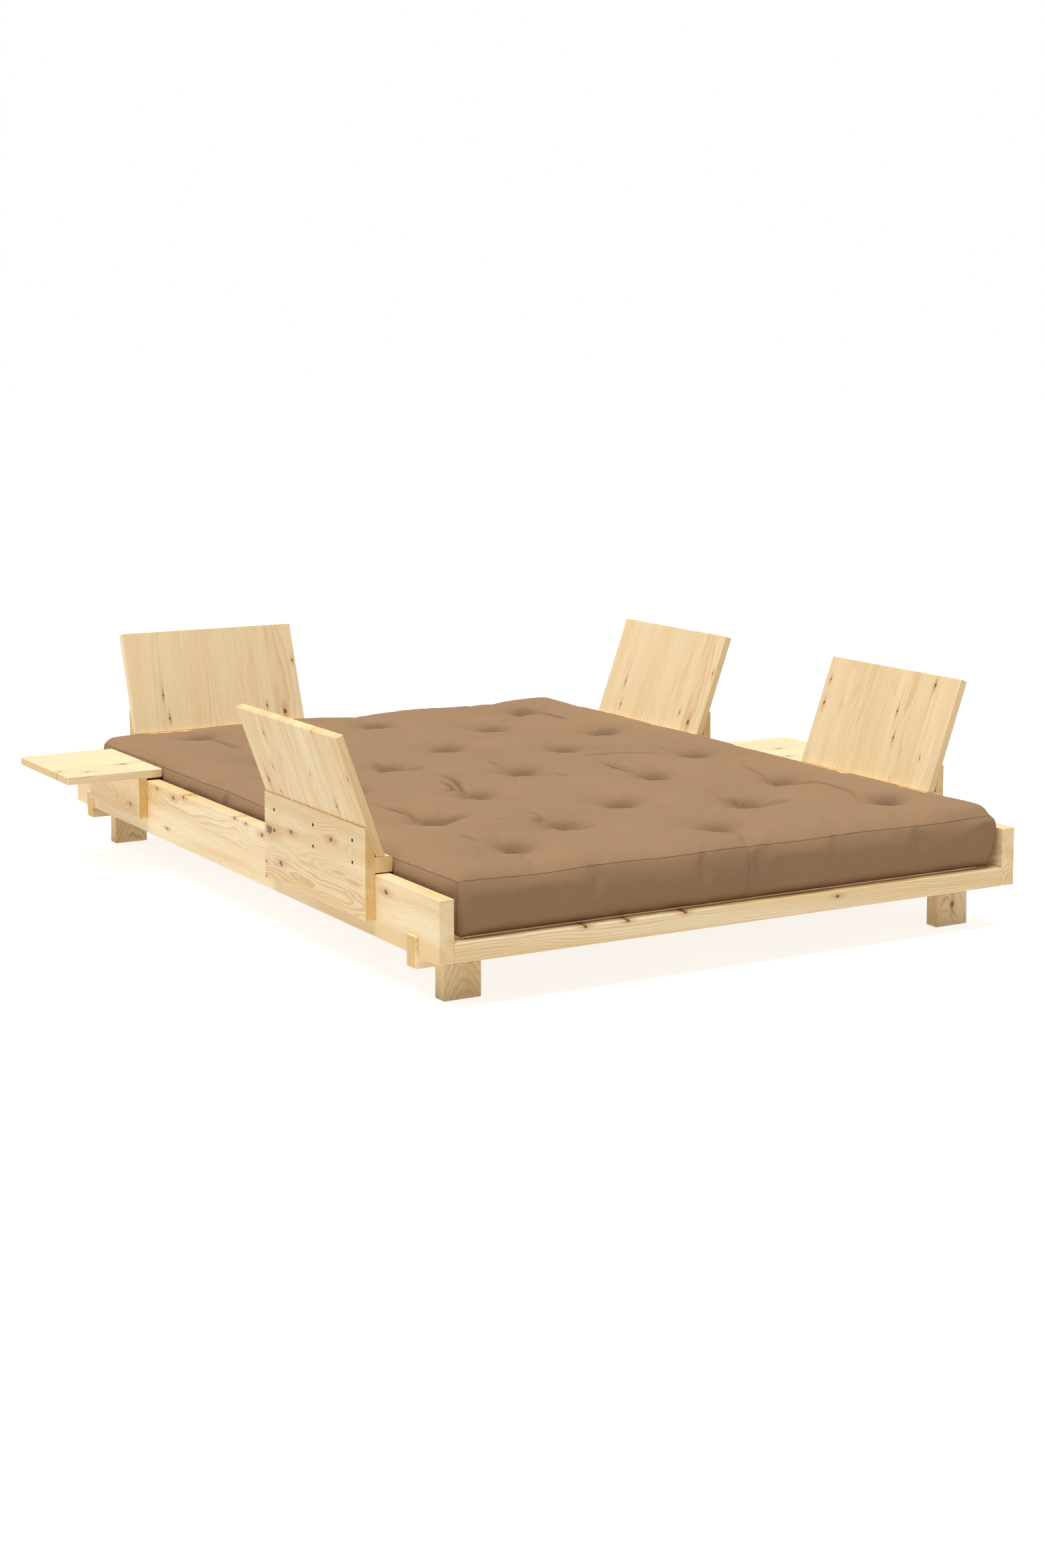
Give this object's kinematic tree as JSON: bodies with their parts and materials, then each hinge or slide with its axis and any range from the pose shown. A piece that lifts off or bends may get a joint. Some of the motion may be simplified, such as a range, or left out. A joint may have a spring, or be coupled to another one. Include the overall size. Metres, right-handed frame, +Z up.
{
  "type": "low bed frame",
  "caption": "Low double bed frame in solid pine with a futon mattress, hang-on leaning backrests and hang-on side tables that slide along its rails.",
  "frame": {"origin": "middle of the overall bounding box, on the floor under the legs", "axes": "+X to the right seen from the foot end, +Y from the foot end to the head end, +Z up"},
  "size_m": [1.922, 2.1704, 0.5401],
  "materials": {
    "pine": "solid pine boards, clear satin lacquer",
    "beech": "plain beech dowel",
    "futon_cotton": "matt brown cotton cover",
    "webbing": "woven band",
    "zinc_steel": "zinc-plated steel",
    "black_steel": "black coated steel"
  },
  "bodies": {
    "bed_frame": {"left_side_rail": "pine", "right_side_rail": "pine", "foot_rail": "pine", "head_rail": "pine", "foot_cross_beam": "pine", "head_cross_beam": "pine", "centre_beam": "pine", "foot_left_leg": "pine", "foot_right_leg": "pine", "head_left_leg": "pine", "head_right_leg": "pine", "centre_leg": "pine", "left_slat_ledge": "pine", "right_slat_ledge": "pine", "slat_01": "pine", "slat_02": "pine", "slat_03": "pine", "slat_04": "pine", "slat_05": "pine", "slat_06": "pine", "slat_07": "pine", "slat_08": "pine", "slat_09": "pine", "slat_10": "pine", "slat_webbing": "webbing", "corner_brackets": "zinc_steel", "bracket_screws": "zinc_steel", "leg_screws": "zinc_steel", "ledge_screws": "zinc_steel"},
    "mattress_body": {"mattress": "futon_cotton"},
    "left_back": {"left_back_board": "pine", "left_back_cleat": "pine", "left_back_panel": "pine", "left_back_hook": "black_steel", "left_back_screws": "black_steel"},
    "right_back": {"right_back_board": "pine", "right_back_cleat": "pine", "right_back_panel": "pine", "right_back_hook": "black_steel", "right_back_screws": "black_steel"},
    "far_back": {"far_back_board": "pine", "far_back_cleat": "pine", "far_back_panel": "pine", "far_back_hook": "black_steel", "far_back_screws": "black_steel"},
    "head_back": {"head_back_board": "pine", "head_back_cleat": "pine", "head_back_panel": "pine", "head_back_hook": "black_steel", "head_back_screws": "black_steel"},
    "left_table": {"left_table_top": "pine", "left_table_board": "pine", "left_table_hook": "black_steel", "left_table_screws": "black_steel", "left_table_dowels": "beech"},
    "right_table": {"right_table_top": "pine", "right_table_board": "pine", "right_table_hook": "black_steel", "right_table_screws": "black_steel", "right_table_dowels": "beech"}
  },
  "joints": [
    {"name": "left_back_slide", "type": "slide", "parent": "bed_frame", "child": "left_back", "axis": [0, 1, 0], "range_m": [-0.148, 0.38]},
    {"name": "right_back_slide", "type": "slide", "parent": "bed_frame", "child": "right_back", "axis": [0, 1, 0], "range_m": [-0.148, 0.016]},
    {"name": "far_back_slide", "type": "slide", "parent": "bed_frame", "child": "far_back", "axis": [0, 1, 0], "range_m": [-0.04, 0.165]},
    {"name": "head_back_slide", "type": "slide", "parent": "bed_frame", "child": "head_back", "axis": [1, 0, 0], "range_m": [-0.125, 0.79]},
    {"name": "left_table_slide", "type": "slide", "parent": "bed_frame", "child": "left_table", "axis": [0, 1, 0], "range_m": [-0.38, 0.025]},
    {"name": "right_table_slide", "type": "slide", "parent": "bed_frame", "child": "right_table", "axis": [0, 1, 0], "range_m": [-0.016, 0.04]},
    {"name": "mattress_lift", "type": "slide", "parent": "bed_frame", "child": "mattress_body", "axis": [0, 0, 1], "range_m": [0, 0.3]}
  ]
}
